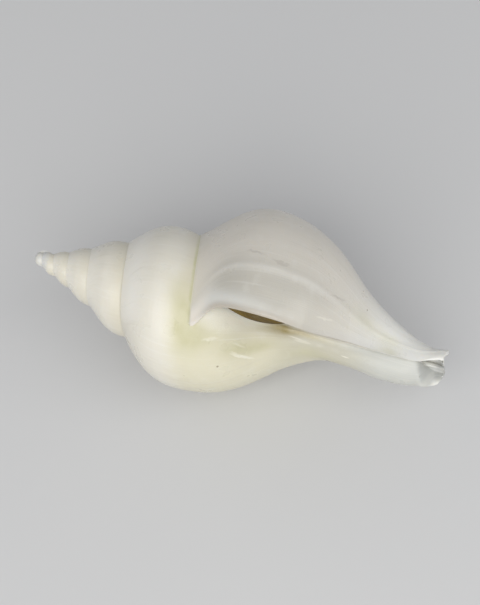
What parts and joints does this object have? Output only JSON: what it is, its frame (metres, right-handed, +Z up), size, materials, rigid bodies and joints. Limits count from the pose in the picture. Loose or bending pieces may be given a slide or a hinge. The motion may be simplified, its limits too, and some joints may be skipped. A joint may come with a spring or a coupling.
{
  "type": "neptunea fukueae shell",
  "caption": "Spindle-shaped whelk shell with swollen whorls, a long open siphonal canal and a horny operculum in its narrow aperture, lying at rest.",
  "frame": {"origin": "middle of the object's box in X and Y, on the surface it rests on", "axes": "+X along the shell from the apex to the tip of the canal, +Z up, -Y the side that the aperture opens to"},
  "size_m": [0.115, 0.0518, 0.0563],
  "materials": {
    "ivory_shell": "satin",
    "brown_horn": "satin"
  },
  "bodies": {
    "root": {"shell": "ivory_shell", "operculum": "brown_horn"}
  },
  "joints": []
}
